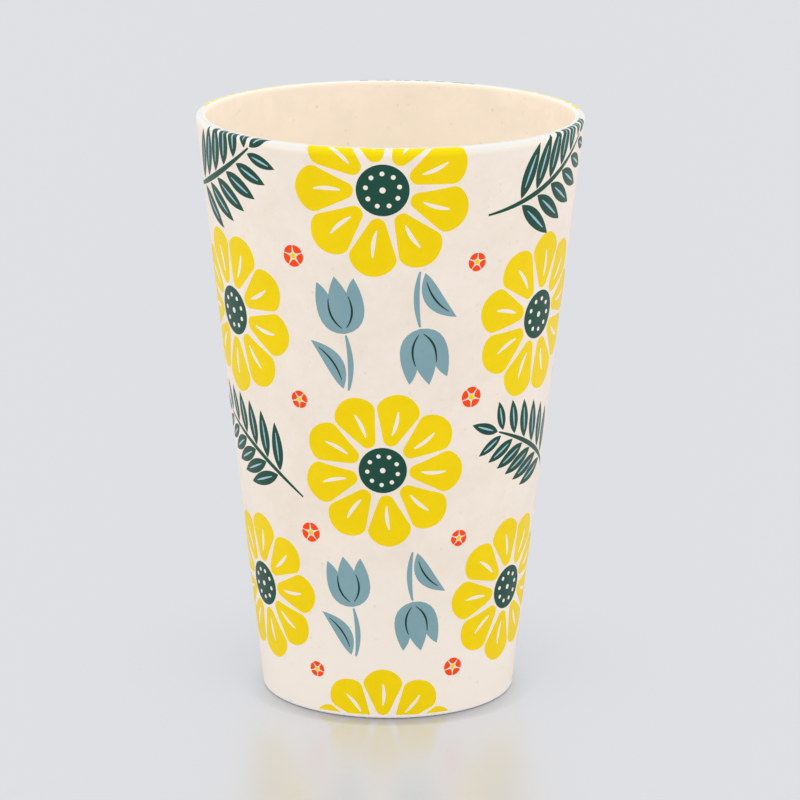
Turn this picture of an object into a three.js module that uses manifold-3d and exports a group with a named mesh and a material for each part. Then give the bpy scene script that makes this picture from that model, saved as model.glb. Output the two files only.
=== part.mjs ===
// A tapered drinking cup of bamboo fibre and resin, with a printed foil pressed into its outer wall.
// Millimetres, +Z up, from the middle of the foot on the table. The foil's seam faces the back, +Y.
import * as THREE from "three";
import { mergeVertices } from "three/addons/utils/BufferGeometryUtils.js";
import Module from "manifold-3d";

const wasm = await Module();
wasm.setup();

// Driving dimensions of the moulding
const HEIGHT = 137.2; // table to the crest of the lip
const RIM_DIAMETER = 90; // outside, where the line of the wall meets the level of the crest
const BASE_DIAMETER = 59.2; // outside, where the line of the wall meets the table
const WALL = 2.3; // square to the wall, foil included
const LIP_OUTSIDE_RADIUS = 0.7; // edge between the outer wall and the flat crest of the lip
const LIP_INSIDE_RADIUS = 0.45; // edge between the crest of the lip and the inside wall
const FLOOR = 3; // between the inside floor and the hollow underneath
const FLOOR_FILLET = 7; // inside, between the wall and the floor
const FOOT_EDGE_RADIUS = 0.7; // rounded edges of the foot ring, inside and outside
const FOOT_RING_WIDTH = 3.6; // the flat that stands on the table
const FOOT_HOLLOW = 2; // height of the hollow inside the foot ring
const HOLLOW_FILLET = 1; // between the foot ring and the ceiling of its hollow

// Driving dimensions of the printed foil
const FOIL_THICKNESS = 0.25;
const FOIL_CLEARANCE = 0.05; // between the foil and its bed in the moulding, on every side
const FOIL_FOOT_MARGIN = 0.95; // bare strip of moulding below the foil, along the wall
const FOIL_CREST_WIDTH = 0.55; // how far the foil's bed reaches in over the flat crest of the lip
const FOIL_SEAM = 0.3; // gap between the foil's two ends

// Facets
const AROUND = 72; // steps in a full turn
const ARC_STEPS = 2; // pairs of steps in each rounded stretch of a profile

// The line of the wall, straight from the table to the level of the crest
const footCorner = new THREE.Vector2(BASE_DIAMETER / 2, 0);
const rimCorner = new THREE.Vector2(RIM_DIAMETER / 2, HEIGHT);
const upTheWall = rimCorner.clone().sub(footCorner).normalize();
const outOfTheWall = new THREE.Vector2(upTheWall.y, -upTheWall.x);
const taper = Math.atan2(upTheWall.x, upTheWall.y);

const bedDepth = FOIL_THICKNESS + FOIL_CLEARANCE;
const floorTop = FOOT_HOLLOW + FLOOR;

// Directions from the centre of an arc in a profile
const UP = Math.PI / 2;
const DOWN = -Math.PI / 2;
const FROM_AXIS = 0;
const TO_AXIS = Math.PI;
const OUT_OF_WALL = FROM_AXIS - taper;
const INTO_WALL = TO_AXIS - taper;

/** A point of the profile, as radius and height: so far up the wall, and so deep inside its face. */
function inWall(along, depth) {
  return footCorner.clone().addScaledVector(upTheWall, along).addScaledVector(outOfTheWall, -depth);
}

/** How far up the wall a point lies that is so deep inside its face and so high above the table. */
function alongAt(height, depth) {
  return (height - depth * Math.sin(taper)) / Math.cos(taper);
}

// The lip: centres of its two rounds, the wall's length below it, and the radius where the foil's bed ends
const lipOutside = inWall(alongAt(HEIGHT - LIP_OUTSIDE_RADIUS, LIP_OUTSIDE_RADIUS), LIP_OUTSIDE_RADIUS);
const insideDepth = WALL - LIP_INSIDE_RADIUS;
const lipInside = inWall(alongAt(HEIGHT - LIP_INSIDE_RADIUS, insideDepth), insideDepth);
const wallLength = alongAt(lipOutside.y, LIP_OUTSIDE_RADIUS);
const bedEnd = lipOutside.x - FOIL_CREST_WIDTH;

/** The points of a profile path, without the repeats where a line runs into an arc. */
function profilePoints(path) {
  const nearest = 1e-6;
  const points = path.getPoints(ARC_STEPS);
  return points.filter((point, i) => i === 0 || point.distanceTo(points[i - 1]) > nearest);
}

/** Turns a profile of radius and height about the cup's axis. */
function revolve(path) {
  return new THREE.LatheGeometry(profilePoints(path), AROUND).rotateX(Math.PI / 2);
}

/** A closed geometry as a solid that can be cut. */
function toSolid(geometry) {
  const bare = geometry.clone().deleteAttribute("normal").deleteAttribute("uv");
  const merged = mergeVertices(bare);
  return new wasm.Manifold(
    new wasm.Mesh({
      numProp: 3,
      vertProperties: merged.attributes.position.array,
      triVerts: new Uint32Array(merged.index.array),
    }),
  );
}

/** A cut solid as a geometry with flat faces. */
function toGeometry(solid) {
  const { vertProperties, triVerts } = solid.getMesh();
  const geometry = new THREE.BufferGeometry();
  geometry.setAttribute("position", new THREE.BufferAttribute(vertProperties, 3));
  geometry.setIndex(new THREE.BufferAttribute(triVerts, 1));
  geometry.computeVertexNormals();
  return geometry;
}

/** The pressed cup, from the axis round to the axis: foot ring, foil's bed, lip, inside wall and floor. */
function cupBodyGeometry() {
  const footEdge = inWall(alongAt(FOOT_EDGE_RADIUS, FOOT_EDGE_RADIUS), FOOT_EDGE_RADIUS);
  const ringInside = footEdge.x - FOOT_RING_WIDTH;
  const hollowWall = ringInside - FOOT_EDGE_RADIUS;
  const hollowFillet = Math.min(HOLLOW_FILLET, FOOT_HOLLOW - FOOT_EDGE_RADIUS);
  const filletDepth = WALL + FLOOR_FILLET;
  const floorCorner = inWall(alongAt(floorTop + FLOOR_FILLET, filletDepth), filletDepth);
  const bedFoot = inWall(FOIL_FOOT_MARGIN, 0);
  const bedFootInside = inWall(FOIL_FOOT_MARGIN, bedDepth);

  const profile = new THREE.Path();
  profile.moveTo(0, FOOT_HOLLOW);
  profile.lineTo(hollowWall - hollowFillet, FOOT_HOLLOW);
  profile.absarc(hollowWall - hollowFillet, FOOT_HOLLOW - hollowFillet, hollowFillet, UP, FROM_AXIS, true);
  profile.absarc(ringInside, FOOT_EDGE_RADIUS, FOOT_EDGE_RADIUS, TO_AXIS, DOWN, false);
  profile.absarc(footEdge.x, footEdge.y, FOOT_EDGE_RADIUS, DOWN, OUT_OF_WALL, false);
  profile.lineTo(bedFoot.x, bedFoot.y);
  profile.lineTo(bedFootInside.x, bedFootInside.y);
  profile.absarc(lipOutside.x, lipOutside.y, LIP_OUTSIDE_RADIUS - bedDepth, OUT_OF_WALL, UP, false);
  profile.lineTo(bedEnd, HEIGHT - bedDepth);
  profile.lineTo(bedEnd, HEIGHT);
  profile.absarc(lipInside.x, lipInside.y, LIP_INSIDE_RADIUS, UP, INTO_WALL, false);
  profile.absarc(floorCorner.x, floorCorner.y, FLOOR_FILLET, OUT_OF_WALL, DOWN, true);
  profile.lineTo(0, floorTop);
  return revolve(profile);
}

/** The printed foil: one sheet round the wall and over the lip's outer half, with its ends at the back. */
function printFoilGeometry() {
  const foot = FOIL_FOOT_MARGIN + FOIL_CLEARANCE;
  const end = bedEnd + FOIL_CLEARANCE;
  const insideRadius = LIP_OUTSIDE_RADIUS - FOIL_THICKNESS;
  const outerFoot = inWall(foot, 0);
  const outerTop = inWall(wallLength, 0);
  const innerFoot = inWall(foot, FOIL_THICKNESS);

  const profile = new THREE.Path();
  profile.moveTo(outerFoot.x, outerFoot.y);
  profile.lineTo(outerTop.x, outerTop.y);
  profile.absarc(lipOutside.x, lipOutside.y, LIP_OUTSIDE_RADIUS, OUT_OF_WALL, UP, false);
  profile.lineTo(end, HEIGHT);
  profile.lineTo(end, HEIGHT - FOIL_THICKNESS);
  profile.absarc(lipOutside.x, lipOutside.y, insideRadius, UP, OUT_OF_WALL, true);
  profile.lineTo(innerFoot.x, innerFoot.y);
  profile.lineTo(outerFoot.x, outerFoot.y);

  const seam = new THREE.BoxGeometry(FOIL_SEAM, RIM_DIAMETER, HEIGHT * 2).translate(0, RIM_DIAMETER / 2, 0);
  return toGeometry(toSolid(revolve(profile)).subtract(toSolid(seam)));
}

const bambooFibre = new THREE.MeshStandardMaterial({ color: 0xf4e3cc, roughness: 0.45, metalness: 0 });
const printedFoil = new THREE.MeshStandardMaterial({ color: 0xefe4d7, roughness: 0.38, metalness: 0 });

const cupBody = new THREE.Mesh(cupBodyGeometry(), bambooFibre);
cupBody.name = "cup_body";

const printFoil = new THREE.Mesh(printFoilGeometry(), printedFoil);
printFoil.name = "print_foil";

const cup = new THREE.Group();
cup.add(cupBody, printFoil);

export default cup;
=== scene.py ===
"""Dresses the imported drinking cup: the pressed bamboo-fibre body, the printed foil and the inks of its print.

The print is a half-drop repeat of blooms, fronds and buds. Each motif is drawn flat in millimetres, cut along
the straight lines of the cone and wrapped on the wall, so every edge of the print is geometry.
"""

import logging
import math
from collections.abc import Iterable, Sequence
from dataclasses import dataclass, field, replace
from enum import Enum

import bpy
from mathutils import Matrix, Vector
from mathutils.geometry import interpolate_bezier


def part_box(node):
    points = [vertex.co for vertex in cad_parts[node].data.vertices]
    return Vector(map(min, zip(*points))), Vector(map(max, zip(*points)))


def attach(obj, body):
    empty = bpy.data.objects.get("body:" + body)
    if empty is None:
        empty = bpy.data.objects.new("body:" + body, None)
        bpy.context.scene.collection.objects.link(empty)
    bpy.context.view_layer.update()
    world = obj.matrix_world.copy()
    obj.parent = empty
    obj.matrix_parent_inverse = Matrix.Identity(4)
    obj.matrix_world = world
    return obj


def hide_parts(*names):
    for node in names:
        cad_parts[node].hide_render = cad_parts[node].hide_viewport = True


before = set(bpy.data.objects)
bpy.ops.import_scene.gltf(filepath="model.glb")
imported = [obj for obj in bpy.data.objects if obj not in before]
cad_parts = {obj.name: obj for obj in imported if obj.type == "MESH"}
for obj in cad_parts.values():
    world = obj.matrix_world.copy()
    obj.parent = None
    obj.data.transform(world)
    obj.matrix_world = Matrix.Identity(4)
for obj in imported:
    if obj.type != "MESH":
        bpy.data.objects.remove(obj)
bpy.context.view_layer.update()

LOG = logging.getLogger("cup")
MM = 0.001
BODY = "root"
HARD_EDGE = 40.0  # degrees between two faces past which the edge between them stays sharp
WELD = 1e-6  # metres within which points of a turned section are one point
WHITE = "#FFFFFF"

Piece = bpy.types.Object
Tree = bpy.types.NodeTree
Socket = bpy.types.NodeSocket
# The points of a section or a shape, and a Bezier knot: handle before, point and handle after
Outline = list[Vector]
Knot = tuple[Vector, Vector, Vector]


def linear(colour: str) -> tuple[float, float, float, float]:
    """Turns an sRGB hex colour to the linear values, with full alpha, that a socket takes."""
    channels = (int(colour[i:i + 2], 16) / 255 for i in (1, 3, 5))
    return (*(c / 12.92 if c <= 0.04045 else ((c + 0.055) / 1.055) ** 2.4 for c in channels), 1.0)


def add_node(tree: Tree, kind: str, inputs: dict | None = None, **settings) -> bpy.types.Node:
    """Adds a node to a tree, with its settings, socket values and links.

    Args:
        tree: The material's or the world's node tree.
        kind: The node's type, without its ShaderNode prefix.
        inputs: Socket names or numbers, each with a value or with the output socket that feeds it.
        **settings: The node's own properties.

    Returns:
        The new node.
    """
    node = tree.nodes.new("ShaderNode" + kind)
    for name, value in settings.items():
        setattr(node, name, value)
    for name, value in (inputs or {}).items():
        if isinstance(value, Socket):
            tree.links.new(value, node.inputs[name])
        else:
            node.inputs[name].default_value = value
    return node


def new_material(name: str) -> bpy.types.Material:
    """Makes an empty node material.

    Args:
        name: The real material's name.

    Returns:
        A material whose tree holds only its output.
    """
    material = bpy.data.materials.new(name)
    material.use_nodes = True
    material.node_tree.nodes.clear()
    return material


def deselect() -> None:
    """Leaves nothing selected, so that an operator acts on the new piece alone."""
    bpy.ops.object.select_all(action="DESELECT")


def select_only(piece: Piece) -> None:
    """Makes one object the whole selection and the active one.

    Args:
        piece: The object.
    """
    deselect()
    piece.select_set(True)
    bpy.context.view_layer.objects.active = piece


def edit_all(piece: Piece) -> None:
    """Opens a piece in edit mode with all of it selected.

    Args:
        piece: The piece.
    """
    select_only(piece)
    bpy.ops.object.mode_set(mode="EDIT")
    bpy.ops.mesh.select_all(action="SELECT")


def leave_edit() -> None:
    """Goes back to object mode."""
    bpy.ops.object.mode_set(mode="OBJECT")


def arc(centre: Vector, radius: float, start: float, end: float, steps: int) -> Outline:
    """Points of an arc of so many chords from one direction to another, in radians, both ends among them."""
    angles = (start + (end - start) * i / steps for i in range(steps + 1))
    return [centre + radius * Vector((math.cos(a), math.sin(a))) for a in angles]


# Strips round the wall, shared by the foil and every ink, so that the facets of all of them lie parallel
AROUND = 240
# Chords of the arcs in the sections
LIP_STEPS = 12
EDGE_STEPS = 6
FILLET_STEPS = 12


@dataclass(frozen=True)
class WallLine:
    """The cup's outer face in section: up the wall, round the lip and in over its crest, in millimetres."""

    height: float
    rim_radius: float = 45.0
    base_radius: float = 29.6
    wall: float = 2.3
    lip_edge: float = 0.7
    mouth_edge: float = 0.45

    @property
    def taper(self) -> float:
        """How far the wall leans out from upright, in radians."""
        return math.atan2(self.rim_radius - self.base_radius, self.height)

    @property
    def mouth_centre(self) -> Vector:
        """Centre of the round between the crest and the inside wall, as radius and height."""
        depth = self.wall - self.mouth_edge
        return self.straight(self.along_at(self.height - self.mouth_edge, depth), depth)

    @property
    def lip_centre(self) -> Vector:
        """Centre of the round between the outer wall and the crest, as radius and height."""
        return self.straight(self.along_at(self.height - self.lip_edge, self.lip_edge), self.lip_edge)

    @property
    def length(self) -> float:
        """From the table up the straight wall to where the lip begins."""
        return self.along_at(self.lip_centre.y, self.lip_edge)

    @property
    def crest(self) -> float:
        """From the table along the line to where the flat crest begins."""
        return self.length + (math.pi / 2 + self.taper) * self.lip_edge

    @property
    def lip_lines(self) -> list[float]:
        """Distances along the line to the steps of the lip's round, both ends among them."""
        return [self.length + (self.crest - self.length) * i / LIP_STEPS for i in range(LIP_STEPS + 1)]

    @property
    def apex(self) -> float:
        """From the table down the wall's line to the point of the cone."""
        return self.base_radius / math.sin(self.taper)

    def along_at(self, height: float, depth: float) -> float:
        """Distance up the straight wall to a point so high above the table and so deep in the wall."""
        return (height - depth * math.sin(self.taper)) / math.cos(self.taper)

    def straight(self, along: float, depth: float) -> Vector:
        """A point so far up the straight wall's line and so deep inside it, as radius and height."""
        up = Vector((math.sin(self.taper), math.cos(self.taper)))
        return Vector((self.base_radius, 0)) + along * up - depth * Vector((up.y, -up.x))

    def at(self, along: float, depth: float) -> Vector:
        """A point of the section, up the wall and over the lip.

        Args:
            along: Distance from the table, up the wall, round the lip and on over its crest.
            depth: Distance inside the outer face.

        Returns:
            The point's radius and height.
        """
        if along <= self.length:
            return self.straight(along, depth)
        if along >= self.crest:
            return Vector((self.lip_centre.x - (along - self.crest), self.height - depth))
        turn = (along - self.length) / self.lip_edge - self.taper
        return self.lip_centre + (self.lip_edge - depth) * Vector((math.cos(turn), math.sin(turn)))

    @staticmethod
    def place(turn: float, section: Vector) -> Vector:
        """A point of the section in the cup, in metres, so many degrees from the front to the right."""
        angle = math.radians(turn)
        return Vector((section.x * math.sin(angle), -section.x * math.cos(angle), section.y)) * MM


@dataclass(frozen=True)
class FoilBed:
    """The shallow bed that the foil lies in, with sizes in millimetres along the cup's outer face."""

    line: WallLine
    foot: float = 0.95
    crest_reach: float = 0.55
    depth: float = 0.3
    clearance: float = 0.02
    seam: float = 0.12

    @property
    def end(self) -> float:
        """From the table along the line to where the bed ends on the crest."""
        return self.line.crest + self.crest_reach

    @property
    def foil_foot(self) -> float:
        """From the table up the wall to the foil's lower edge."""
        return self.foot + self.clearance

    @property
    def foil_end(self) -> float:
        """From the table along the line to the foil's edge on the crest."""
        return self.end - self.clearance

    @property
    def foil_turn(self) -> float:
        """Degrees round the cup from the front to either end of the foil, half a seam short of the back."""
        return 180 - math.degrees(self.seam / 2 / self.line.rim_radius)


def draw_section(name: str, line: WallLine, turn: float, points: Outline) -> Piece:
    """Draws a section as a string of edges: one vertex, extruded from point to point.

    Args:
        name: The piece's name.
        line: The cup's wall, which knows where a section lies.
        turn: Degrees round the cup to the plane that the section is drawn in.
        points: The section's points, as radius and height.

    Returns:
        The new object, at the origin, with only edges in its mesh.
    """
    places = [line.place(turn, point) for point in points]
    deselect()
    bpy.ops.mesh.primitive_plane_add(size=MM, location=places[0])
    piece = bpy.context.object
    piece.name = piece.data.name = name
    bpy.ops.object.transform_apply(location=True, rotation=True, scale=True)
    edit_all(piece)
    bpy.ops.mesh.merge(type="CENTER")
    for here, there in zip(places, places[1:]):
        bpy.ops.mesh.extrude_region_move(TRANSFORM_OT_translate={"value": there - here})
    leave_edit()
    return piece


def spin_section(piece: Piece, degrees: float) -> None:
    """Turns a drawn section about the cup's axis and closes its seams.

    Args:
        piece: The drawn section.
        degrees: How far it turns, to the right as seen from the front.
    """
    edit_all(piece)
    bpy.ops.mesh.spin(steps=AROUND, angle=math.radians(degrees), center=(0, 0, 0), axis=(0, 0, -1))
    bpy.ops.mesh.select_all(action="SELECT")
    bpy.ops.mesh.remove_doubles(threshold=WELD)
    bpy.ops.mesh.normals_make_consistent(inside=False)
    leave_edit()


def smooth(piece: Piece) -> None:
    """Shades a piece smooth, with hard edges where its faces meet sharply."""
    select_only(piece)
    bpy.ops.object.shade_smooth_by_angle(angle=math.radians(HARD_EDGE))


def thicken(piece: Piece, thickness: float) -> None:
    """Gives a sheet its thickness, inwards from its face.

    Args:
        piece: The sheet.
        thickness: Its thickness in millimetres.
    """
    select_only(piece)
    solidify = piece.modifiers.new("thickness", "SOLIDIFY")
    solidify.thickness = thickness * MM
    solidify.offset = -1
    bpy.ops.object.modifier_apply(modifier=solidify.name)


@dataclass(frozen=True)
class Flecks:
    """One kind of fibre speck in pressed resin, with sizes in millimetres.

    The share says how many of the cells at that spacing hold a speck, and the core how much of its radius is
    solid.
    """

    spacing: float
    radius: float
    share: float
    colour: str
    strength: float
    core: float = 0.2

    def lay(self, tree: Tree, where: Socket, under: Socket) -> Socket:
        """Lays the specks over a colour.

        Args:
            tree: The material's tree.
            where: The coordinates, in metres.
            under: The colour beneath.

        Returns:
            The flecked colour.
        """
        cells = add_node(tree, "TexVoronoi", {"Vector": where, "Scale": 1 / (self.spacing * MM)})
        reach = self.radius / self.spacing
        spot = add_node(
            tree, "MapRange",
            {"Value": cells.outputs["Distance"], "From Min": reach, "From Max": reach * self.core},
            interpolation_type="SMOOTHSTEP")
        chance = add_node(tree, "SeparateColor", {"Color": cells.outputs["Color"]})
        kept = add_node(
            tree, "MapRange",
            {"Value": chance.outputs["Red"], "From Min": 1 - self.share, "To Max": self.strength})
        amount = add_node(
            tree, "Math", {0: spot.outputs["Result"], 1: kept.outputs["Result"]}, operation="MULTIPLY")
        return add_node(
            tree, "Mix", {"Factor": amount.outputs[0], 6: under, 7: linear(self.colour)}, data_type="RGBA",
        ).outputs[2]


@dataclass(frozen=True)
class Tone:
    """A band of another tone: the depths below the crest, in millimetres, where it begins and is full.

    The share says how far the tone covers the resin's own colour there, from 0 to 1. On this cup most bands are
    painted light: painted highlights on the lip, and painted light deep inside and towards the foot.
    """

    colour: str
    begins: float
    full: float
    share: float = 1.0

    def lay(self, tree: Tree, height: Socket, under: Socket, crest: float) -> Socket:
        """Lays the tone over a colour.

        Args:
            tree: The material's tree.
            height: The height above the table, in metres.
            under: The colour beneath.
            crest: The height of the crest, in millimetres.

        Returns:
            The toned colour.
        """
        begins, full = ((crest - below) * MM for below in (self.begins, self.full))
        band = add_node(
            tree, "MapRange", {"Value": height, "From Min": begins, "From Max": full, "To Max": self.share},
            interpolation_type="SMOOTHSTEP")
        return add_node(
            tree, "Mix", {"Factor": band.outputs["Result"], 6: under, 7: linear(self.colour)},
            data_type="RGBA",
        ).outputs[2]


MID_NOISE = (0.5, 0.5, 0.5)  # the middle of a noise texture's colours, which shifts a point nowhere


@dataclass(frozen=True)
class PressedResin:
    """Melamine resin pressed hot in a polished mould: satin, with fibre specks under a clear skin.

    The mould gives an even sheen. The colour drifts a little as the resin flowed, and the specks are short
    bamboo fibres, soft at their edges because resin covers them. Sizes are in millimetres.
    """

    name: str
    colour: str
    drift: str
    flecks: tuple[Flecks, ...]
    tones: tuple[Tone, ...] = ()
    roughness: float = 0.36
    roughness_spread: float = 0.04
    gloss: float = 0.22
    drift_size: float = 14.0
    drift_octaves: float = 4.0
    drift_grain: float = 0.8
    drift_between: tuple[float, float] = (0.3, 0.7)
    wobble_size: float = 0.9
    wobble: float = 0.35
    skin_size: float = 1.3
    skin_octaves: float = 2.0
    skin_height: float = 0.004

    def material(self, line: WallLine) -> bpy.types.Material:
        """Builds the finish as a procedural material.

        Args:
            line: The cup's wall, from whose crest the tones are measured.

        Returns:
            The material.
        """
        material = new_material(self.name)
        tree = material.node_tree
        here = add_node(tree, "TexCoord").outputs["Object"]
        flow = add_node(
            tree, "TexNoise",
            {"Vector": here, "Scale": 1 / (self.drift_size * MM), "Detail": self.drift_octaves,
             "Roughness": self.drift_grain})
        low, high = self.drift_between
        cloud = add_node(
            tree, "MapRange", {"Value": flow.outputs["Fac"], "From Min": low, "From Max": high},
            interpolation_type="SMOOTHSTEP")
        colour = add_node(
            tree, "Mix", {"Factor": cloud.outputs["Result"], 6: linear(self.colour), 7: linear(self.drift)},
            data_type="RGBA",
        ).outputs[2]
        height = add_node(tree, "SeparateXYZ", {0: here}).outputs["Z"]
        for tone in self.tones:
            colour = tone.lay(tree, height, colour, line.height)
        ragged = add_node(tree, "TexNoise", {"Vector": here, "Scale": 1 / (self.wobble_size * MM)})
        nudge = add_node(tree, "VectorMath", {0: ragged.outputs["Color"], 1: MID_NOISE}, operation="SUBTRACT")
        shifted = add_node(
            tree, "VectorMath",
            {0: nudge.outputs[0], 1: (self.wobble * MM,) * 3, 2: here}, operation="MULTIPLY_ADD",
        ).outputs[0]
        for flecks in self.flecks:
            colour = flecks.lay(tree, shifted, colour)
        skin = add_node(
            tree, "TexNoise",
            {"Vector": here, "Scale": 1 / (self.skin_size * MM), "Detail": self.skin_octaves})
        sheen = add_node(
            tree, "MapRange",
            {"Value": skin.outputs["Fac"], "To Min": self.roughness - self.roughness_spread,
             "To Max": self.roughness + self.roughness_spread})
        bump = add_node(
            tree, "Bump",
            {"Height": skin.outputs["Fac"], "Strength": 1.0, "Distance": self.skin_height * MM})
        shader = add_node(
            tree, "BsdfPrincipled",
            {"Base Color": colour, "Roughness": sheen.outputs["Result"], "Normal": bump.outputs["Normal"],
             "Specular IOR Level": self.gloss})
        add_node(tree, "OutputMaterial", {"Surface": shader.outputs["BSDF"]})
        return material


def bamboo_flecks(strength: float) -> tuple[Flecks, ...]:
    """The cup's fibre specks: faint warm stains, small golden fibres and a few tiny dark ones.

    Args:
        strength: How strongly they show, from 0 to 1.

    Returns:
        The kinds of fleck, in the order they are laid.
    """
    return (
        Flecks(spacing=5.2, radius=1.15, share=0.6, colour="#DBB07C", strength=0.2 * strength),
        Flecks(spacing=2.5, radius=0.55, share=0.6, colour="#C4923F", strength=0.45 * strength),
        Flecks(spacing=4.2, radius=0.46, share=0.45, colour="#84704E", strength=0.42 * strength),
    )


BARE_BODY = PressedResin(
    "bamboo_fibre_resin", "#F5E5D5", "#ECDFCD", bamboo_flecks(0.8),
    # Warm cream all through. Paler deep in the cup: painted light, added to the light going from wall to wall.
    # Paler, then a cool white at the crest of the mouth: a painted highlight on the lip. Paler and cooler at
    # the foot.
    (
        Tone("#FEF6E4", 2.0, 18.0, 0.55), Tone("#F6EAD9", 1.2, 0.4), Tone("#E3E0DB", 0.18, 0.03),
        Tone("#F2EDE8", 134.5, 136.0),
    ),
)
FOIL_GROUND = PressedResin(
    "cream_printed_foil", "#F2E6DA", "#ECDFD0", bamboo_flecks(0.42),
    # Cream a shade cooler than the body. Paler towards the foot: painted light from the floor below.
    # Paler where the foil is drawn over the lip, and a cool white on its crest: a painted highlight.
    (Tone("#F3E9DE", 90.0, 135.0), Tone("#F8F0E3", 2.2, 0.9), Tone("#E0DEDA", 0.9, 0.2)),
)


@dataclass(frozen=True)
class InkLayer:
    """One colour of the print: its piece's name, its finish and how deep its face lies, in millimetres."""

    piece: str
    finish: PressedResin
    depth: float


# Depths of the inks' faces below the outer face of the cup, and the thickness of every ink
UNDER = 0.026
OVER = 0.012
INK_THICKNESS = 0.06


def ink(
    name: str, colour: str, drift: str, fibre: float = 0.12, gloss: float = 0.22,
    tones: tuple[Tone, ...] = (),
) -> PressedResin:
    """Printing ink sealed under the foil's clear resin: as satin as the ground, with some fibre showing."""
    return PressedResin(name, colour, drift, bamboo_flecks(fibre), tones, gloss=gloss)


class Ink(Enum):
    """The inks of the print, in printing order."""

    # The yellow's tones paint a highlight on the lip: a brighter, purer yellow where the ink goes over it.
    YELLOW = InkLayer(
        "yellow_blooms",
        ink("yellow_ink", "#F3D306", "#EFCE00", fibre=0.35, gloss=0.12,
            tones=(Tone("#F8DE00", 2.0, 1.0), Tone("#F2D400", 0.75, 0.1))),
        UNDER)
    GREEN = InkLayer("green_fronds", ink("dark_green_ink", "#154A3B", "#124537", fibre=0.03), UNDER)
    BLUE = InkLayer("blue_buds", ink("blue_grey_ink", "#82A4AB", "#7C9EA6"), UNDER)
    RED = InkLayer("red_florets", ink("orange_red_ink", "#FC4700", "#F64200"), UNDER)
    CREAM = InkLayer("cream_marks", ink("cream_ink", "#F3EBDF", "#F0E6D9"), OVER)
    VEIN = InkLayer("blue_veins", ink("pale_blue_ink", "#A3C5CE", "#9CBEC7"), OVER)
    LINE = InkLayer("green_lines", ink("green_line_ink", "#123A31", "#10352C", fibre=0.03), OVER)


def closed_curve(knots: Sequence[Knot], steps: int = 10) -> Outline:
    """A closed outline through Bezier knots.

    Args:
        knots: Each knot's handle before it, its point and its handle after it.
        steps: Chords between two knots.

    Returns:
        The outline's points, anticlockwise if the knots are.
    """
    points: Outline = []
    for here, there in zip(knots, [*knots[1:], knots[0]]):
        points += interpolate_bezier(here[1], here[2], there[0], there[1], steps + 1)[:-1]
    return points


def leaf(length: float, width: float, belly: float, bow: float = 0.0) -> Outline:
    """A leaf with a point at each end, growing up from the origin.

    Args:
        length: From base to tip.
        width: Its widest.
        belly: Where along its length it is widest, from 0 to 1.
        bow: How far its middle bends to the right.

    Returns:
        Its outline.
    """
    base, tip = Vector((0, 0)), Vector((0, length))
    # The handles stand out past the edge that they pull, and less so above, where the leaf is slimmer
    pull = 0.67 * width
    slim_pull = 0.8 * pull
    low, high = 0.62 * belly * length, (0.45 + 0.55 * belly) * length
    points = closed_curve([
        (Vector((-pull, low)), base, Vector((pull, low))),
        (Vector((slim_pull, high)), tip, Vector((-slim_pull, high))),
    ], steps=14)
    return [point + Vector((bow * 4 * t * (1 - t), 0)) for point in points for t in [point.y / length]]


def petal(base: float, tip: float, spread: float, gap: float) -> Outline:
    """A petal that grows up from near the origin: a wedge with a round tip.

    Args:
        base: Height of its lowest point.
        tip: Height of its highest point.
        spread: Half of the angle that the petal has to itself, in radians.
        gap: Clear width between it and the next petal.

    Returns:
        Its outline.
    """
    mirror = Matrix.Diagonal((-1, 1))
    rise = tip - base
    # How far up its rise the straight side of the petal begins and ends
    root_at, shoulder_at = 0.08, 0.62
    root = Vector((base * math.tan(spread) - gap, base + root_at * rise))
    high = base + shoulder_at * rise
    shoulder = Vector((high * math.tan(spread) - gap / 2, high))
    lean = (shoulder - root).normalized() * rise
    # Lengths of the handles along the side, and how far across the ends are pulled flat
    side_pull, tip_pull, root_pull = 0.2, 0.16, 0.03
    flat_tip, flat_root = 0.62, 0.6
    before, after = shoulder - side_pull * lean, shoulder + tip_pull * lean
    root_before, root_after = root - root_pull * lean, root + side_pull * lean
    crown = Vector((flat_tip * shoulder.x, tip))
    low = Vector((flat_root * root.x, base))
    return closed_curve([
        (mirror @ low, Vector((0, base)), low),
        (root_before, root, root_after),
        (before, shoulder, after),
        (crown, Vector((0, tip)), mirror @ crown),
        (mirror @ after, mirror @ shoulder, mirror @ before),
        (mirror @ root_after, mirror @ root, mirror @ root_before),
    ], steps=8)


def disc(radius: float, sides: int = 24) -> Outline:
    """A round spot about the origin."""
    return arc(Vector((0, 0)), radius, 0, math.tau, sides)[:-1]


def stroke(
    start: Vector, pull: Vector, end: Vector, width: float, steps: int = 16, blunt: float = 0.35,
) -> Outline:
    """A pen stroke that swells in its middle.

    Args:
        start: Where it begins.
        pull: The point that bends it, as in a quadratic curve.
        end: Where it ends.
        width: Its widest.
        steps: Chords along it.
        blunt: How wide its ends are, as a share of its widest.

    Returns:
        Its outline.
    """
    right: Outline = []
    left: Outline = []
    for i in range(steps + 1):
        t = i / steps
        spot = (1 - t) ** 2 * start + 2 * t * (1 - t) * pull + t ** 2 * end
        along = ((1 - t) * (pull - start) + t * (end - pull)).normalized()
        half = width / 2 * (blunt + (1 - blunt) * math.sin(math.pi * t))
        right.append(spot + half * Vector((along.y, -along.x)))
        left.append(spot - half * Vector((along.y, -along.x)))
    return right + left[::-1]


def moved(outline: Outline, to: Vector = Vector((0, 0)), lean: float = 0.0, size: float = 1.0) -> Outline:
    """An outline scaled, turned so many degrees anticlockwise about the origin and then shifted."""
    turn = Matrix.Rotation(math.radians(lean), 2)
    return [to + size * (turn @ point) for point in outline]


@dataclass
class Motif:
    """A printed motif, drawn flat in millimetres about its own middle: its outlines in each ink."""

    outlines: dict[Ink, list[Outline]] = field(default_factory=dict)

    def add(self, colour: Ink, outline: Outline) -> None:
        """Adds an outline in an ink."""
        self.outlines.setdefault(colour, []).append(outline)


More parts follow.
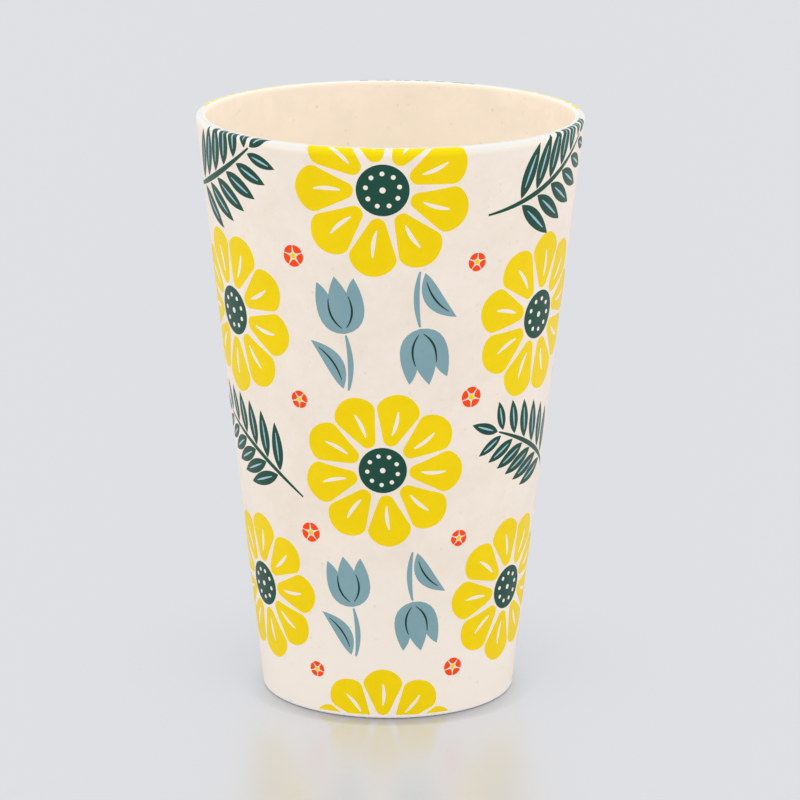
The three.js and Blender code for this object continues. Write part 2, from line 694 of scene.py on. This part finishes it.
@dataclass(frozen=True)
class Bloom:
    """A round flower: yellow petals with a cream stroke each, about a green eye with cream dots.

    Sizes are in millimetres. The stroke's start, bend and end are shares of the flower's radius, and the ring
    of dots is a share of the eye's.
    """

    radius: float = 20.4
    petals: int = 9
    eye: float = 6.0
    gap: float = 0.65
    mark_at: tuple[float, float, float] = (0.47, 0.62, 0.78)
    mark_bow: float = 0.6
    mark_width: float = 0.95
    dots: int = 9
    dot_ring: float = 0.64
    dot: float = 0.55
    middle_dot: float = 0.7

    def draw(self) -> Motif:
        """Draws the flower.

        Returns:
            The motif, about the flower's middle.
        """
        motif = Motif()
        blade = petal(self.eye + self.gap, self.radius, math.pi / self.petals, self.gap)
        start, bend, end = (Vector((0, share * self.radius)) for share in self.mark_at)
        mark = stroke(start, bend + Vector((self.mark_bow, 0)), end, self.mark_width)
        for i in range(self.petals):
            lean = 360 * i / self.petals
            motif.add(Ink.YELLOW, moved(blade, lean=lean))
            motif.add(Ink.CREAM, moved(mark, lean=lean))
        motif.add(Ink.GREEN, disc(self.eye, 36))
        ring = self.dot_ring * self.eye
        for i in range(self.dots):
            turn = math.tau * i / self.dots
            motif.add(Ink.CREAM, moved(disc(self.dot, 14), ring * Vector((math.cos(turn), math.sin(turn)))))
        motif.add(Ink.CREAM, disc(self.middle_dot, 16))
        return motif


@dataclass(frozen=True)
class Frond:
    """A fern frond: leaflets in pairs along a bowed stem, each with a pale vein.

    Sizes are in millimetres and degrees. Where the stem ends and the pairs start and stop are shares of the
    frond's length, and a vein's start, middle and end are shares of its leaflet's.
    """

    length: float = 47.0
    pairs: int = 6
    bow: float = 3.0
    splay: float = 54.0
    stem_width: float = 1.4
    stem_end: float = 0.8
    pairs_from: float = 0.19
    pairs_to: float = 0.76
    longest: float = 13.8
    shortest: float = 8.8
    shortening: float = 1.6
    slimness: float = 0.37
    widest: float = 4.35
    belly: float = 0.42
    vein_at: tuple[float, float, float] = (0.2, 0.5, 0.78)
    vein_width: float = 0.55
    clear: float = 1.0
    tip_clear: float = 0.5

    @property
    def foot(self) -> Vector:
        """Where the stem begins."""
        return Vector((0, -self.length / 2))

    @property
    def pull(self) -> Vector:
        """The point that bends the stem."""
        return Vector((2 * self.bow, 0))

    def spine(self, t: float) -> tuple[Vector, float]:
        """Follows the line of the stem.

        Args:
            t: How far along it, from 0 at the foot to 1 at the frond's tip.

        Returns:
            The point there, and the lean of the stem in degrees.
        """
        foot, pull, top = self.foot, self.pull, -self.foot
        spot = (1 - t) ** 2 * foot + 2 * t * (1 - t) * pull + t ** 2 * top
        along = (1 - t) * (pull - foot) + t * (top - pull)
        return spot, math.degrees(math.atan2(-along.x, along.y))

    def add_leaflet(self, motif: Motif, spot: Vector, clear: float, lean: float, reach: float) -> None:
        """Adds a leaflet and its vein.

        Args:
            motif: The motif that they go in.
            spot: The point of the stem that they grow from.
            clear: How far from that point the leaflet starts.
            lean: Its lean in degrees.
            reach: Its length.
        """
        base = spot + moved([Vector((0, clear))], lean=lean)[0]
        blade = leaf(reach, min(self.slimness * reach, self.widest), self.belly)
        vein = stroke(*(Vector((0, share * reach)) for share in self.vein_at), self.vein_width, 8)
        motif.add(Ink.GREEN, moved(blade, base, lean))
        motif.add(Ink.VEIN, moved(vein, base, lean))

    def draw(self) -> Motif:
        """Draws the frond.

        Returns:
            The motif, with its middle at the middle of the stem.
        """
        motif = Motif()
        end, tilt = self.spine(self.stem_end)
        bend = self.foot.lerp(self.pull, self.stem_end)
        motif.add(Ink.GREEN, stroke(self.foot, bend, end, self.stem_width, 24))
        self.add_leaflet(motif, end, self.tip_clear, tilt, self.length * (1 - self.stem_end))
        for i in range(self.pairs):
            share = i / (self.pairs - 1)
            spot, tilt = self.spine(self.pairs_from + (self.pairs_to - self.pairs_from) * share)
            reach = self.longest - (self.longest - self.shortest) * share ** self.shortening
            for side in (-1, 1):
                self.add_leaflet(motif, spot, self.clear, tilt + side * self.splay, reach)
        return motif


@dataclass(frozen=True)
class Bud:
    """A blue tulip bud on a bowed stem with a blade beside it and dark lines over it, in millimetres."""

    height: float = 15.5
    width: float = 12.0
    stem: float = 14.5
    stem_width: float = 1.5
    line_width: float = 0.55
    blade_width: float = 5.2
    blade_belly: float = 0.42
    blade_bow: float = 2.0
    blade_lean: float = 25.0
    vein_width: float = 0.5

    def at(self, across: float, up: float) -> Vector:
        """A point of the flower, as shares of its half width and of its height."""
        return Vector((across * self.width / 2, up * self.height))

    def flower(self) -> Outline:
        """Draws the flower: a round belly, two side petals and a middle one, with a notch between them.

        Returns:
            Its outline, from its base round by the right.
        """
        mirror = Matrix.Diagonal((-1, 1))
        base, crown = Vector((0, 0.3)), self.at(0, 1)
        tip, notch = self.at(0.82, 0.93), self.at(0.4, 0.7)
        belly_low, belly_high = self.at(1.25, 0.05), self.at(1.15, 0.6)
        tip_after, crown_before = self.at(0.6, 0.86), self.at(0.12, 0.93)
        notch_before, notch_after = self.at(0.48, 0.78), self.at(0.3, 0.82)
        return closed_curve([
            (mirror @ belly_low, base, belly_low),
            (belly_high, tip, tip_after),
            (notch_before, notch, notch_after),
            (crown_before, crown, mirror @ crown_before),
            (mirror @ notch_after, mirror @ notch, mirror @ notch_before),
            (mirror @ tip_after, mirror @ tip, mirror @ belly_high),
        ])

    def draw(self) -> Motif:
        """Draws the bud.

        Returns:
            The motif, with its middle where flower and stem meet.
        """
        motif = Motif()
        motif.add(Ink.BLUE, self.flower())
        for side in (-1, 1):
            fold = (self.at(side * 0.1, 0.12), self.at(side * 0.64, 0.32), self.at(side * 0.44, 0.64))
            motif.add(Ink.LINE, stroke(*fold, self.line_width))
        stem = (Vector((0, -0.1)), Vector((0.6, -0.55 * self.stem)), Vector((-2.2, -self.stem)))
        motif.add(Ink.BLUE, stroke(*stem, self.stem_width))
        foot = Vector((-3.4, -0.96 * self.stem))
        blade = leaf(1.02 * self.stem, self.blade_width, self.blade_belly, self.blade_bow)
        motif.add(Ink.BLUE, moved(blade, foot, self.blade_lean))
        vein = (Vector((1.0, 2.2)), Vector((2.8, 0.5 * self.stem)), Vector((0.8, 0.84 * self.stem)))
        motif.add(Ink.LINE, moved(stroke(*vein, self.vein_width), foot, self.blade_lean))
        return motif


@dataclass(frozen=True)
class Floret:
    """A small orange-red flower with a yellow middle, in millimetres. The eye is a share of the radius."""

    radius: float = 2.7
    petals: int = 5
    eye_share: float = 0.26
    gap: float = 0.2

    def draw(self) -> Motif:
        """Draws the flower.

        Returns:
            The motif, about the flower's middle.
        """
        motif = Motif()
        eye = self.eye_share * self.radius
        blade = petal(eye + self.gap, self.radius, math.pi / self.petals, self.gap)
        for i in range(self.petals):
            motif.add(Ink.RED, moved(blade, lean=360 * i / self.petals))
        motif.add(Ink.YELLOW, disc(eye, 16))
        return motif


@dataclass(frozen=True)
class Spot:
    """Where a copy of a motif is printed: degrees from the front, millimetres up the wall, lean and size."""

    turn: float
    along: float
    lean: float = 0.0
    size: float = 1.0


# Distances on the wall's chart within which a cut goes through a point, and within which two points are one
CUT_WELD = 1e-5
CHART_WELD = 1e-3


@dataclass
class Print:
    """The print on the foil: its motifs, its half-drop layout, and the ink pieces wrapped on the wall.

    Rows and columns are those of the blooms. In every other row the blooms stand between the columns, with a
    pair of buds in each gap, and in the other rows, all but the lowest, a frond fills the gap. Places are in
    degrees round the cup and millimetres up the wall, those of the florets in shares of a column and a row.
    """

    line: WallLine
    bed: FoilBed
    columns: int = 3
    rows: int = 5
    row_step: float = 33.3
    first_turn: float = -2.0
    first_along: float = -4.6
    lowest_size: float = 0.84
    growth: float = 0.04
    row_lean: float = 13.0
    column_lean: float = 29.0
    bud_aside: float = 12.0
    bud_shift: float = 1.0
    bud_lean: float = 10.0
    bud_size: float = 0.94
    frond_lean: float = 64.0
    frond_lift: float = 2.5
    frond_size: float = 0.725
    frond_growth: float = 0.061
    floret_aside: tuple[float, float] = (-0.24, 0.25)
    floret_up: tuple[float, float] = (0.5, 0.47)
    floret_lean: tuple[float, float] = (20.0, 35.0)
    small_floret: float = 0.85
    past_back: float = 60.0

    def layout(self) -> list[tuple[Motif, list[Spot]]]:
        """Works out where each motif is printed.

        Returns:
            Each motif with its spots.
        """
        blooms: list[Spot] = []
        fronds: list[Spot] = []
        buds: list[Spot] = []
        florets: list[Spot] = []
        step = 360 / self.columns
        for row in range(self.rows):
            dropped = row % 2
            along = self.first_along + row * self.row_step
            size = self.lowest_size + self.growth * row
            left_up, right_up = (along + share * self.row_step for share in self.floret_up)
            for column in range(self.columns):
                turn = self.first_turn + (column + dropped / 2) * step
                gap = turn + step / 2
                blooms.append(Spot(turn, along, self.row_lean * row + self.column_lean * column, size))
                if dropped:
                    small = self.bud_size * size
                    for side, lean in ((-1, self.bud_lean), (1, self.bud_lean + 180)):
                        place = gap + side * self.bud_aside, along + side * self.bud_shift
                        buds.append(Spot(*place, lean, small))
                elif row:
                    left = (row // 2 + column) % 2
                    lean, lift = (self.frond_lean, 0.0) if left else (-self.frond_lean, self.frond_lift)
                    fronds.append(Spot(gap, along + lift, lean, self.frond_size + self.frond_growth * row))
                left_turn, right_turn = (gap + share * step for share in self.floret_aside)
                florets.append(Spot(left_turn, left_up, self.floret_lean[0] * column, size))
                small = self.small_floret * size
                florets.append(Spot(right_turn, right_up, self.floret_lean[1] * row, small))
        motifs = (Bloom(), blooms), (Frond(), fronds), (Bud(), buds), (Floret(), florets)
        return [(motif.draw(), spots) for motif, spots in motifs]

    def on_chart(self, point: Vector, spot: Spot) -> Vector:
        """Carries a flat point of a motif to the wall's chart.

        The wall is part of a cone, so it unrolls flat: the motif keeps its true shape on it.

        Args:
            point: The point about the motif's middle, in millimetres.
            spot: Where the motif goes.

        Returns:
            Degrees from the front, and distance up the wall, as a point of the chart.
        """
        flat = spot.size * (Matrix.Rotation(math.radians(spot.lean), 2) @ point.to_2d())
        reach = self.line.apex + spot.along + flat.y
        turn = math.atan2(flat.x, reach) / math.sin(self.line.taper)
        return Vector((spot.turn + math.degrees(turn), math.hypot(flat.x, reach) - self.line.apex, 0))

    @staticmethod
    def cut_shapes(outlines: Iterable[Outline]) -> Piece:
        """Cuts flat shapes out of filled circles, as one object.

        Args:
            outlines: The shapes' outlines.

        Returns:
            The flat shapes, one face each.
        """
        made = []
        for outline in outlines:
            deselect()
            bpy.ops.mesh.primitive_circle_add(vertices=len(outline), radius=1, fill_type="NGON")
            shape = bpy.context.object
            for vertex, point in zip(shape.data.vertices, outline):
                vertex.co = (*point, 0)
            made.append(shape)
        return join(made)

    def lay(self, flat: Piece, spot: Spot) -> Piece:
        """Copies flat shapes to a spot of the chart.

        Args:
            flat: The motif's shapes in one ink.
            spot: Where the copy goes.

        Returns:
            The copy, with its own mesh.
        """
        copy = flat.copy()
        copy.data = flat.data.copy()
        bpy.context.scene.collection.objects.link(copy)
        for vertex in copy.data.vertices:
            vertex.co = self.on_chart(vertex.co, spot)
        return copy

    def cut_strips(self, layer: Piece) -> None:
        """Trims a layer to the foil and cuts it along the rulings of the cone and round the lip.

        Args:
            layer: The flat layer, on the wall's chart.
        """
        edge = self.bed.foil_turn
        trims = (
            ((-edge, 0, 0), (-1, 0, 0)), ((edge, 0, 0), (1, 0, 0)),
            ((0, self.bed.foil_foot, 0), (0, -1, 0)), ((0, self.bed.foil_end, 0), (0, 1, 0)),
        )
        rulings = (((-edge + 2 * edge * i / AROUND, 0, 0), (1, 0, 0)) for i in range(1, AROUND))
        rounds = (((0, along, 0), (0, 1, 0)) for along in self.line.lip_lines)
        cuts = [*((*trim, True) for trim in trims), *((*cut, False) for cut in (*rulings, *rounds))]
        edit_all(layer)
        for place, normal, trims_off in cuts:
            bpy.ops.mesh.select_all(action="SELECT")
            bpy.ops.mesh.bisect(plane_co=place, plane_no=normal, clear_outer=trims_off, threshold=CUT_WELD)
        bpy.ops.mesh.select_all(action="SELECT")
        bpy.ops.mesh.remove_doubles(threshold=CHART_WELD)
        bpy.ops.mesh.dissolve_degenerate(threshold=CHART_WELD)
        leave_edit()

    def wrap(self, layer: Piece, depth: float) -> None:
        """Carries a cut layer from the chart to the wall.

        Args:
            layer: The flat layer.
            depth: How deep its face lies in the wall, in millimetres.
        """
        for vertex in layer.data.vertices:
            turn, along, _ = vertex.co
            vertex.co = self.line.place(turn, self.line.at(along, depth))

    def layer(self, colour: Ink, layout: list[tuple[Motif, list[Spot]]]) -> Piece:
        """Models one ink's piece: its shapes laid on the chart, cut, wrapped on the wall and thickened.

        Args:
            colour: The ink.
            layout: Each motif with its spots.

        Returns:
            The piece.
        """
        copies = []
        for motif, spots in layout:
            if colour not in motif.outlines:
                continue
            flat = self.cut_shapes(motif.outlines[colour])
            for spot in spots:
                for turn in (spot.turn - 360, spot.turn, spot.turn + 360):
                    if abs(turn) < 180 + self.past_back:
                        copies.append(self.lay(flat, replace(spot, turn=turn)))
            bpy.data.objects.remove(flat)
        piece = join(copies)
        piece.name = piece.data.name = colour.value.piece
        self.cut_strips(piece)
        self.wrap(piece, colour.value.depth)
        thicken(piece, INK_THICKNESS)
        smooth(piece)
        return piece

    def dress(self, piece: Piece, colour: Ink) -> None:
        """Gives an ink's piece its finish and its place in the frame.

        Args:
            piece: The piece.
            colour: Its ink.
        """
        piece.data.materials.append(colour.value.finish.material(self.line))
        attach(piece, BODY)

    def build(self) -> list[Piece]:
        """Models and dresses the print.

        Returns:
            The inks' pieces, in printing order.
        """
        layout = self.layout()
        pieces = []
        for colour in Ink:
            piece = self.layer(colour, layout)
            self.dress(piece, colour)
            pieces.append(piece)
        return pieces


def join(parts: Sequence[Piece]) -> Piece:
    """Joins objects into the first of them.

    Args:
        parts: The objects.

    Returns:
        The joined object.
    """
    deselect()
    for part in parts:
        part.select_set(True)
    bpy.context.view_layer.objects.active = parts[0]
    bpy.ops.object.join()
    return parts[0]


@dataclass
class PressedCup:
    """The moulding: foot ring, bed for the foil, lip, inside wall and floor, with sizes in millimetres."""

    line: WallLine
    bed: FoilBed
    floor: float = 3.0
    floor_fillet: float = 7.0
    foot_edge: float = 0.7
    foot_ring: float = 3.6
    foot_hollow: float = 2.0
    hollow_fillet: float = 1.0

    def section(self) -> Outline:
        """The moulding in section, from the axis under the floor round to the axis on top of it.

        Returns:
            The section's points, as radius and height.
        """
        line, bed = self.line, self.bed
        out, into = -line.taper, math.pi - line.taper
        edge = line.at(line.along_at(self.foot_edge, self.foot_edge), self.foot_edge)
        ring = edge.x - self.foot_ring
        hollow = Vector((ring - self.foot_edge - self.hollow_fillet, self.foot_hollow - self.hollow_fillet))
        floor_top = self.foot_hollow + self.floor
        deep = line.wall + self.floor_fillet
        corner = line.at(line.along_at(floor_top + self.floor_fillet, deep), deep)
        return [
            Vector((0, self.foot_hollow)),
            *arc(hollow, self.hollow_fillet, math.pi / 2, 0, EDGE_STEPS),
            *arc(Vector((ring, self.foot_edge)), self.foot_edge, math.pi, 1.5 * math.pi, EDGE_STEPS),
            *arc(edge, self.foot_edge, -math.pi / 2, out, EDGE_STEPS),
            line.at(bed.foot, 0),
            line.at(bed.foot, bed.depth),
            *arc(line.lip_centre, line.lip_edge - bed.depth, out, math.pi / 2, LIP_STEPS),
            line.at(bed.end, bed.depth),
            line.at(bed.end, 0),
            *arc(line.mouth_centre, line.mouth_edge, math.pi / 2, into, LIP_STEPS),
            *arc(corner, self.floor_fillet, out, -math.pi / 2, FILLET_STEPS),
            Vector((0, floor_top)),
        ]

    def build(self) -> list[Piece]:
        """Models the moulding by turning its section, and dresses it.

        Returns:
            The one piece.
        """
        piece = draw_section("pressed_cup", self.line, 180, self.section())
        spin_section(piece, 360)
        smooth(piece)
        self.dress(piece)
        return [piece]

    def dress(self, piece: Piece) -> None:
        """Gives the moulding its finish and its place in the frame.

        Args:
            piece: The moulding.
        """
        piece.data.materials.append(BARE_BODY.material(self.line))
        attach(piece, BODY)
        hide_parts("cup_body")


@dataclass
class PrintedFoil:
    """The foil's cream ground: one sheet round the wall and over the lip, with its ends at the back."""

    line: WallLine
    bed: FoilBed
    depth: float = 0.04
    thickness: float = 0.2

    def section(self) -> Outline:
        """The foil's face in section, from its foot up the wall and over the lip, as radius and height."""
        alongs = (self.bed.foil_foot, *self.line.lip_lines, self.bed.foil_end)
        return [self.line.at(along, self.depth) for along in alongs]

    def build(self) -> list[Piece]:
        """Models the foil by turning its section all but the seam's width, and dresses it.

        Returns:
            The one piece.
        """
        edge = self.bed.foil_turn
        piece = draw_section("foil_ground", self.line, -edge, self.section())
        spin_section(piece, 2 * edge)
        thicken(piece, self.thickness)
        smooth(piece)
        self.dress(piece)
        return [piece]

    def dress(self, piece: Piece) -> None:
        """Gives the foil its finish and its place in the frame.

        Args:
            piece: The foil.
        """
        piece.data.materials.append(FOIL_GROUND.material(self.line))
        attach(piece, BODY)
        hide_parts("print_foil")


SQUARE = 2.0  # the power that makes a shade or a light gather where it is strongest


@dataclass
class Studio:
    """The pale glossy floor, the soft light all round and the camera of the photograph.

    Lengths are in metres and angles in degrees, but lens and sensor are in millimetres, as a camera's are.
    """

    aim: Vector
    backdrop: str = "#DEDFE3"
    level: float = 1.02
    front: float = 0.17
    sides: float = 0.7
    overhead: float = 0.22
    overhead_from: float = 0.6
    overhead_full: float = 0.95
    floor_size: float = 12.0
    floor_grey: str = "#C3C4C8"
    floor_glow: str = "#D3D5DB"
    floor_gloss: float = 0.36
    floor_blur: float = 0.3
    contact: float = 5.5 * MM
    contact_tilt: float = 75.0
    contact_beside: float = 0.45
    contact_front: tuple[float, float] = (-8 * MM, -32 * MM)
    shadow: float = 60 * MM
    shadow_tilt: float = -30.0
    shadow_depth: float = 0.82
    lens: float = 183.52
    sensor: float = 36.0
    sees: tuple[float, float] = (0.05, 50.0)
    distance: float = 958.04 * MM
    elevation: float = 14.349
    roll: float = 0.3
    slide: tuple[float, float] = (2.56 * MM, 0.208 * MM)

    def shade(self, tree: Tree, reach: float, tilt: float) -> Socket:
        """How much of the light the cup takes from a place on the floor.

        Args:
            tree: The floor's material tree.
            reach: How far the cup's shade goes.
            tilt: Degrees from straight up, towards the back, of the side that is looked at.

        Returns:
            The share that is lost, from 0 to 1.
        """
        lean = math.radians(tilt)
        side = add_node(tree, "CombineXYZ", {"Y": math.sin(lean), "Z": math.cos(lean)})
        open_sky = add_node(tree, "AmbientOcclusion", {"Distance": reach, "Normal": side.outputs["Vector"]})
        return add_node(tree, "Math", {0: 1.0, 1: open_sky.outputs["AO"]}, operation="SUBTRACT").outputs[0]

    def floor(self) -> Piece:
        """Lays the floor: a pale sheet that mirrors the cup softly and darkens where the foot touches it.

        What the camera sees is mostly an even glow, as of a sheet lit from all round, so that it stays one
        flat colour to its edges. What lights the cup from below is a plain matt sheet of the same brightness.

        Returns:
            The floor.
        """
        deselect()
        bpy.ops.mesh.primitive_plane_add(size=self.floor_size)
        floor = bpy.context.object
        floor.name = floor.data.name = "floor"
        material = new_material("pale_acrylic_sheet")
        tree = material.node_tree
        contact = self.shade(tree, self.contact, self.contact_tilt)
        shadow = add_node(
            tree, "Math", {0: self.shade(tree, self.shadow, self.shadow_tilt), 1: SQUARE}, operation="POWER")
        here = add_node(tree, "SeparateXYZ", {0: add_node(tree, "TexCoord").outputs["Object"]})
        forwards = add_node(
            tree, "MapRange",
            {"Value": here.outputs["Y"], "From Min": self.contact_front[0], "From Max": self.contact_front[1],
             "To Min": self.contact_beside})
        near = add_node(tree, "Math", {0: contact, 1: forwards.outputs["Result"]}, operation="MULTIPLY")
        lost = add_node(
            tree, "Math", {0: shadow.outputs[0], 1: self.shadow_depth, 2: near.outputs[0]},
            operation="MULTIPLY_ADD")
        left = add_node(tree, "Math", {0: 1.0, 1: lost.outputs[0]}, operation="SUBTRACT")
        glow = add_node(tree, "Emission", {"Color": linear(self.floor_glow), "Strength": left.outputs[0]})
        gloss = add_node(tree, "BsdfGlossy", {"Color": linear(WHITE), "Roughness": self.floor_blur})
        matt = add_node(tree, "BsdfDiffuse", {"Color": linear(self.floor_grey)})
        seen = add_node(tree, "MixShader", {0: self.floor_gloss, 1: glow.outputs[0], 2: gloss.outputs[0]})
        camera = add_node(tree, "LightPath").outputs["Is Camera Ray"]
        both = add_node(tree, "MixShader", {0: camera, 1: matt.outputs[0], 2: seen.outputs[0]})
        add_node(tree, "OutputMaterial", {"Surface": both.outputs[0]})
        floor.data.materials.append(material)
        return floor

    def light(self) -> None:
        """Lights the cup from all round: more from the front and the sides, most from overhead."""
        world = bpy.data.worlds.new("soft_studio")
        bpy.context.scene.world = world
        world.use_nodes = True
        tree = world.node_tree
        tree.nodes.clear()
        towards = add_node(tree, "SeparateXYZ", {0: add_node(tree, "TexCoord").outputs["Generated"]})
        front = add_node(
            tree, "MapRange",
            {"Value": towards.outputs["Y"], "From Min": -1.0, "From Max": 1.0,
             "To Min": self.level * (1 + self.front), "To Max": self.level * (1 - self.front)})
        across = add_node(tree, "Math", {0: towards.outputs["X"], 1: SQUARE}, operation="POWER")
        level = add_node(
            tree, "Math", {0: across.outputs[0], 1: self.sides, 2: front.outputs["Result"]},
            operation="MULTIPLY_ADD")
        top = add_node(
            tree, "MapRange",
            {"Value": towards.outputs["Z"], "From Min": self.overhead_from, "From Max": self.overhead_full,
             "To Max": self.overhead},
            interpolation_type="SMOOTHSTEP")
        strength = add_node(tree, "Math", {0: level.outputs[0], 1: top.outputs["Result"]}, operation="ADD")
        soft = add_node(tree, "Background", {"Color": linear(WHITE), "Strength": strength.outputs[0]})
        plain = add_node(tree, "Background", {"Color": linear(self.backdrop), "Strength": 1.0})
        seen = add_node(tree, "LightPath").outputs["Is Camera Ray"]
        both = add_node(tree, "MixShader", {0: seen, 1: soft.outputs[0], 2: plain.outputs[0]})
        add_node(tree, "OutputWorld", {"Surface": both.outputs[0]})

    def camera(self) -> Piece:
        """Sets up the camera at the photograph's angle and distance.

        Returns:
            The camera.
        """
        tilt, roll = math.radians(self.elevation), math.radians(self.roll)
        back = Vector((0, -math.cos(tilt), math.sin(tilt)))
        level, upright = Vector((1, 0, 0)), Vector((0, math.sin(tilt), math.cos(tilt)))
        right = math.cos(roll) * level + math.sin(roll) * upright
        up = math.cos(roll) * upright - math.sin(roll) * level
        place = self.aim + self.distance * back + self.slide[0] * right + self.slide[1] * up
        data = bpy.data.cameras.new("camera")
        data.lens = self.lens
        data.sensor_width = self.sensor
        data.clip_start, data.clip_end = self.sees
        camera = bpy.data.objects.new("camera", data)
        bpy.context.scene.collection.objects.link(camera)
        camera.matrix_world = Matrix.Translation(place) @ Matrix((right, up, back)).transposed().to_4x4()
        bpy.context.scene.camera = camera
        return camera


def main() -> None:
    """Builds and dresses the cup, sets the studio, and logs the faces of each piece."""
    logging.basicConfig(level=logging.INFO, format="%(name)s: %(message)s")
    bpy.context.scene.view_settings.view_transform = "Standard"

    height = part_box("cup_body")[1].z / MM
    line = WallLine(height=height)
    bed = FoilBed(line)

    studio = Studio(aim=Vector((0, 0, height * MM / 2)))
    studio.camera()
    studio.light()
    studio.floor()

    for assembly in (PressedCup(line, bed), PrintedFoil(line, bed), Print(line, bed)):
        for piece in assembly.build():
            LOG.info("%s: %d faces", piece.name, len(piece.data.polygons))


if __name__ == "__main__":
    main()
